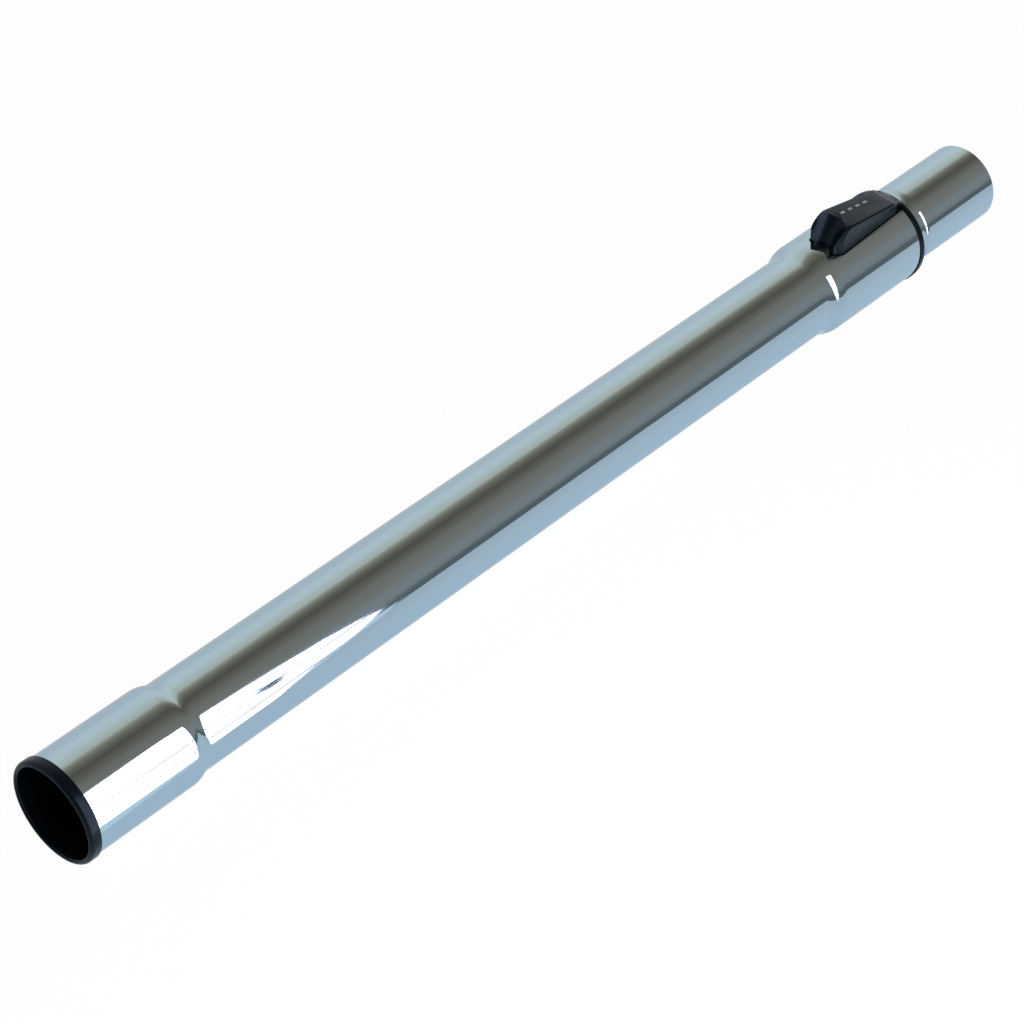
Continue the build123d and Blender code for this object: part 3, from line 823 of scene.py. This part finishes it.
def wedge(foot, steps=20):
    """The button's body: slices that follow its sloping top, with the rounded front and long edges in them."""
    *_, b = sizes()
    turn = math.pi / 2 + b.slope
    reach = b.front_round * math.tan(turn / 2)
    drawn_back = b.toe * (crown_height(b.front) - reach - foot) / (b.height - reach)
    rings = [slice_of_button(0, drawn_back, 0, foot)]
    for k in range(steps + 1):
        angle = turn * k / steps
        setback = b.front_round * (1 - math.cos(angle))
        depth = max(0.0, reach - b.front_round * math.sin(angle) - math.tan(b.slope) * setback)
        over = max(0.0, b.edge - depth)
        inset = b.edge - math.sqrt(b.edge ** 2 - over ** 2)
        rings.append(slice_of_button(depth, setback, inset))
    body = lofted("release_button_moulding", *rings)
    knee = b.front + b.length - b.tail_fall
    pick(body)
    bpy.ops.object.mode_set(mode="EDIT")
    bpy.ops.mesh.select_all(action="SELECT")
    bpy.ops.mesh.bisect(plane_co=place(knee, crown_height(knee)), use_fill=True, clear_outer=True,
                        plane_no=(math.sin(b.brow_slope), 0, math.cos(b.brow_slope)))
    bpy.ops.object.mode_set(mode="OBJECT")
    return body


# How far the tools of the button's scoop and underside reach, in millimetres, and where the relief of its tail
# begins behind the pawl
SCOOP_BELOW, SCOOP_OVER, UNDER_PAST, BEHIND_PAWL = 6, 5, 6, 2


class AddButton(bpy.types.Operator):
    """Models the rocking button: tapered wedge, fingertip scoop, hollow underside and grip pips"""
    bl_idname = "suction.button"
    bl_label = "Release button"

    def execute(self, context):
        t, _, _, b = sizes()
        bell, rear = t.bell_od / 2, b.front + b.length
        low = bell - b.skirt
        spare, above_foot = 3, 1.5
        body = wedge(low - spare)
        round_tail(body, place(rear - b.tail_fall, low + above_foot))
        # The scoop goes straight down below the bell's surface and leans back above it
        circles, top = [], b.height + SCOOP_OVER
        for rise, shown in ((-SCOOP_BELOW, 0), (0, 0), (top, top)):
            centre, radius = scoop_at(shown)
            circles.append(ring_points(centre, radius, bell + rise, count=128))
        cut_with(body, lofted("scoop", *circles))
        bevel_edges(body, lambda a, c: near_scoop(a) and near_scoop(c), b.rim)
        # The underside is round like the bell, with room over the guide sleeve behind the pawl
        ahead, behind, step = b.front - UNDER_PAST, rear + UNDER_PAST, rear - b.pawl_ahead + BEHIND_PAWL
        high = low + b.tail_relief
        cut_with(body, turned("under", [(ahead, 0), (ahead, low), (step, low), (step, high),
                                        (behind, high), (behind, 0)]))
        cut_with(body, cavity_tool())
        smooth(body, degrees=35)
        for k in range(b.pip_count):
            cut_with(body, grip_pip(b.front + b.pip_start + k * b.pip_pitch), "UNION")
        finish_piece(body, "button", [black_abs(), pale_grey_pips()], "release_button", on_pip)
        return {"FINISHED"}


def round_tail(body, knee):
    """Rounds the button's edges that lie higher than a point at the knee and run back from there."""
    *_, b = sizes()
    from_knee, past_knee = knee.x - 0.1 * MM, knee.x + 0.3 * MM

    def on_tail(a, c):
        return min(a.z, c.z) > knee.z and min(a.x, c.x) > from_knee and max(a.x, c.x) > past_knee

    bevel_edges(body, on_tail, b.edge * 0.8)


def scoop_at(rise):
    """Centre and radius of the fingertip scoop at a height above the bell's surface."""
    *_, b = sizes()
    share = rise / b.height
    radius = b.scoop_low + (b.scoop_high - b.scoop_low) * share
    return b.front + b.scoop_depth + b.scoop_lean * share - radius, radius


def near_scoop(point, near=0.06):
    """Whether a point lies within some millimetres of the fingertip scoop's wall."""
    t, *_ = sizes()
    centre, radius = scoop_at(max(0.0, (point.z - AXIS_HEIGHT) / MM - t.bell_od / 2))
    return abs(math.hypot((point.x + HALF_LENGTH) / MM - centre, point.y / MM) - radius) < near


def cavity_tool():
    """The tool that hollows the button from below."""
    *_, b = sizes()
    start = b.front + b.cavity_start
    end = b.front + b.length - b.pawl_ahead - b.cavity_wall
    walls = [(x, half_width(x, 0) - b.wall) for x in (start, end)]
    plan = walls + [(x, -y) for x, y in walls[::-1]]
    mouth = 8  # below the button's foot
    return lofted("cavity", [place(x, mouth, y) for x, y in plan],
                  [place(x, crown_height(x) - b.roof, y) for x, y in plan])


def grip_pip(x):
    """One low round-ended grip pip on the button's top."""
    *_, b = sizes()
    plan = slot_plan(x - b.pip_length / 2, x + b.pip_length / 2, b.pip_width)
    return lofted("pip", *([place(px, crown_height(px) + rise, py + b.pip_offset) for px, py in plan]
                           for rise in (-b.pip_width / 2, b.pip_height)))


def on_pip(at, normal):
    """Whether a face of the button belongs to a grip pip."""
    *_, b = sizes()
    x = (at.x + HALF_LENGTH) / MM
    above = (at.z - AXIS_HEIGHT) / MM - crown_height(x)
    return above > b.pip_height / 4 and x < b.front + b.length - b.tail_fall


# Hidden parts keep their construction meshes and get their finish

class FinishInnerParts(bpy.types.Operator):
    """Gives the guide, bushes, seals, pawl, pin, cradle and springs their finishes"""
    bl_idname = "suction.inner_parts"
    bl_label = "Inner parts"

    def execute(self, context):
        finishes = ((black_acetal(), ("guide_sleeve", "tail_bush", "guide_ring", "lock_cradle")),
                    (wiper_felt(), ("wiper_felt", "slide_seal")),
                    (spring_steel(), ("pivot_pin", "locking_pawl",
                                      "return_spring_left", "return_spring_right")))
        for material, nodes in finishes:
            for node in nodes:
                slots = frame["nodes"][node].data.materials
                slots.clear()
                slots.append(material)
        return {"FINISHED"}


# Stage

class SetStage(bpy.types.Operator):
    """Lays the pale floor, lights the room, hangs the window and sets the camera"""
    bl_idname = "suction.stage"
    bl_label = "Stage"

    def execute(self, context):
        lay_floor()
        light_room()
        hang_window()
        set_camera()
        context.scene.view_settings.view_transform = "Standard"
        return {"FINISHED"}


# The floor's width and its gap under the tube, in m, and the part of its light that is a plain glow
FLOOR_WIDTH, FLOOR_GAP, FLOOR_GLOW = 14.0, 0.0002, 0.97


def lay_floor():
    """A pale floor that keeps a soft shadow and is clear from below."""
    bpy.ops.object.select_all(action="DESELECT")
    bpy.ops.mesh.primitive_plane_add(size=FLOOR_WIDTH, location=(0, 0, CAD_BOX[0][2] - FLOOR_GAP))
    floor = bpy.context.object
    floor.name = "studio_floor"
    material, tree = new_material("paper_floor_pale")
    rays = add_node(tree, "ShaderNodeLightPath")
    seen = (rays, "Is Camera Ray")
    for kind in ("Is Glossy Ray", "Is Transmission Ray"):
        seen = (add_node(tree, "ShaderNodeMath", {0: seen, 1: (rays, kind)}, operation="MAXIMUM"), "Value")
    share = add_node(tree, "ShaderNodeMath", {0: seen}, operation="MULTIPLY")
    share.inputs[1].default_value = FLOOR_GLOW
    paper = add_node(tree, "ShaderNodeBsdfDiffuse", Color=finish_colour("floor"))
    glow = add_node(tree, "ShaderNodeEmission", Color=(1, 1, 1, 1), Strength=1.0)
    mix = add_node(tree, "ShaderNodeMixShader",
                   {"Fac": (share, "Value"), 1: (paper, "BSDF"), 2: (glow, "Emission")})
    side = add_node(tree, "ShaderNodeNewGeometry")
    clear = add_node(tree, "ShaderNodeBsdfTransparent")
    mix = add_node(tree, "ShaderNodeMixShader",
                   {"Fac": (side, "Backfacing"), 1: (mix, "Shader"), 2: (clear, "BSDF")})
    close_material(tree, mix, "Shader")
    floor.data.materials.append(material)
    floor.visible_glossy = False


# The room around the tube: the angle about its axis from level behind (0) over the top (90) to level in
# front (180) and under it (-90), and the colour there, matched to the bands in the photographed plate
ROOM = (
    # The pale sheet under the tube, in front of it and behind it
    (-178, "#d6e3ed"), (-150, "#dceefa"), (-115, "#d2eafd"), (-90, "#c7dae9"), (-30, "#cfd7dc"),
    (0, "#d8eaf2"),
    # The pale wall behind and its cream cornice
    (18, "#ebf9ff"), (34, "#eef8f6"), (46, "#e5ece5"), (56, "#dfe0d2"), (62, "#b0b0a0"),
    # The dim ceiling, darkest at the back
    (70, "#8f8a7b"), (84, "#6b675b"), (96, "#7d776c"), (112, "#959086"), (130, "#99978e"),
    # The wall in front, with a dark foot
    (148, "#9fa5a6"), (162, "#9ba1a2"), (170, "#727d80"), (176, "#6f7b7f"))


def light_room():
    """A soft studio room: pale behind, a dim ceiling and a mid-grey room in front."""
    scene = bpy.context.scene
    scene.world = scene.world or bpy.data.worlds.new("studio_room")
    scene.world.use_nodes = True
    tree = scene.world.node_tree
    tree.nodes.clear()
    around = add_node(tree, "ShaderNodeTexCoord")
    parts = add_node(tree, "ShaderNodeSeparateXYZ", {"Vector": (around, "Generated")})
    turn = add_node(tree, "ShaderNodeMath", {0: (parts, "Z"), 1: (parts, "Y")}, operation="ARCTAN2")
    share = add_node(tree, "ShaderNodeMapRange", {"Value": (turn, "Value")},
                     From_Min=-math.pi, From_Max=math.pi)
    ramp = add_node(tree, "ShaderNodeValToRGB", {"Fac": (share, "Result")})
    stops = ramp.color_ramp.elements
    while len(stops) > 1:
        stops.remove(stops[-1])
    for index, (angle, code) in enumerate(ROOM):
        position = 0.5 + angle / 360
        stop = stops.new(position) if index else stops[0]
        stop.position = position
        stop.color = linear(code)
    glow = add_node(tree, "ShaderNodeBackground", {"Color": (ramp, "Color")}, Strength=1.0)
    rays = add_node(tree, "ShaderNodeLightPath")
    white = add_node(tree, "ShaderNodeBackground", Color=(1, 1, 1, 1), Strength=1.0)
    mix = add_node(tree, "ShaderNodeMixShader",
                   {"Fac": (rays, "Is Camera Ray"), 1: (glow, "Background"), 2: (white, "Background")})
    add_node(tree, "ShaderNodeOutputWorld", {"Surface": (mix, "Shader")})


# The window in front of the tube, which shows white in the plate: places along the tube and heights, in m
WINDOW_AWAY = 0.450
FAR_SIDE = -0.35
# The edge that the glass and its frame share
EDGE = ((FAR_SIDE, -0.150), (0.085, -0.145), (0.098, -0.035), (0.118, -0.020))
GLASS = EDGE + ((0.152, 0.100), (0.152, 0.660), (FAR_SIDE, 0.660))
GLASS_FRAME = EDGE + ((0.156, 0.110), (0.159, 0.680), (FAR_SIDE, 0.680))
SILL = ((FAR_SIDE, -0.330), (-0.02, -0.330), (0.155, 0.000), (0.166, 0.060), (FAR_SIDE, 0.060))
TREE = ((0.083, 0.259), (0.088, 0.261), (0.084, 0.201), (0.090, 0.182), (0.081, 0.096), (0.071, 0.093),
        (0.066, 0.120), (0.074, 0.190))
# The lower edges of the window's two bars, their height and where they end
BARS = (0.150, -0.030)
BAR_HEIGHT = 0.022
BAR_END = 0.15


def hang_window():
    """The lit sill, the window with its coloured frame, the tree outside and the window's bars."""
    # Each pane's name, outline, distance behind the window's plane, colour and strength
    panes = [("sill", SILL, 0.006, "#d9f0ff", 1.25), ("frame", GLASS_FRAME, 0.003, "#9a86ff", 1.5),
             ("glass", GLASS, 0.000, "#ffffff", 5.0), ("tree", TREE, -0.003, "#8d9bb0", 0.8)]
    for index, low in enumerate(BARS):
        high = low + BAR_HEIGHT
        bar = ((FAR_SIDE, low), (BAR_END, low), (BAR_END, high), (FAR_SIDE, high))
        panes.append((f"bar_{index}", bar, -0.002, "#d4d6f2", 1.25))
    for part, outline, behind, code, strength in panes:
        hang_pane(f"window_{part}", [Vector((x, -WINDOW_AWAY - behind, z)) for x, z in outline], code, strength)


def hang_pane(name, corners, code, strength):
    """A flat glowing pane, which the camera doesn't see directly."""
    pane = start_line(name, corners[0])
    draw_on(corners + corners[:1])
    merge_corners(MM)
    bpy.ops.mesh.edge_face_add()
    bpy.ops.object.mode_set(mode="OBJECT")
    material, tree = new_material(f"{name}_glow")
    glow = add_node(tree, "ShaderNodeEmission", Color=linear(code), Strength=strength)
    close_material(tree, glow, "Emission")
    pane.data.materials.append(material)
    pane.visible_camera = False


# The camera that was fitted to the photograph: its place in m, its right and back directions, its lens and
# sensor width in mm, and the nearest that it sees in m
CAMERA_PLACE = (-0.6194, -0.4526, 0.7330)
CAMERA_RIGHT, CAMERA_BACK = (0.67353, -0.73365, 0.09008), (-0.56872, -0.43653, 0.69714)
LENS, SENSOR, NEAREST = 98.5, 36.0, 0.01


def set_camera():
    """The camera at the photograph's place, looking down along the tube."""
    right, back = Vector(CAMERA_RIGHT).normalized(), Vector(CAMERA_BACK).normalized()
    up = back.cross(right).normalized()
    right = up.cross(back)
    data = bpy.data.cameras.new("camera")
    data.lens, data.sensor_width, data.clip_start = LENS, SENSOR, NEAREST
    camera = bpy.data.objects.new("camera", data)
    bpy.context.scene.collection.objects.link(camera)
    turn = Matrix((right, up, back)).transposed().to_4x4()
    camera.matrix_world = Matrix.Translation(CAMERA_PLACE) @ turn
    bpy.context.scene.camera = camera


class SuctionPanel(bpy.types.Panel):
    """Lists the pieces in the sidebar"""
    bl_idname = "VIEW3D_PT_suction"
    bl_label = "Suction tube"
    bl_space_type = "VIEW_3D"
    bl_region_type = "UI"
    bl_category = "Suction tube"

    def draw(self, context):
        for piece in PIECES:
            self.layout.operator(piece.bl_idname)
        for group in GROUPS:
            self.layout.label(text=group.__doc__)


GROUPS = {TubeSizes: "tube_sizes", TrackSizes: "track_sizes", PlasticSizes: "plastic_sizes",
          ButtonSizes: "button_sizes", FinishColours: "finish_colours"}
PIECES = (AddOuterTube, AddInnerTube, AddSocketLiner, AddCollar, AddButton, FinishInnerParts, SetStage)


def register():
    """Makes the sizes, pieces and panel known to Blender."""
    for group, name in GROUPS.items():
        bpy.utils.register_class(group)
        setattr(bpy.types.Scene, name, bpy.props.PointerProperty(type=group))
    for piece in PIECES + (SuctionPanel,):
        bpy.utils.register_class(piece)


def unregister():
    """Takes the panel, pieces and sizes out again."""
    for piece in (SuctionPanel,) + PIECES[::-1]:
        bpy.utils.unregister_class(piece)
    for group, name in GROUPS.items():
        delattr(bpy.types.Scene, name)
        bpy.utils.unregister_class(group)


def main():
    """Builds every piece and the stage."""
    register()
    for piece in PIECES:
        group, name = piece.bl_idname.split(".")
        getattr(getattr(bpy.ops, group), name)()


if __name__ == "__main__":
    main()
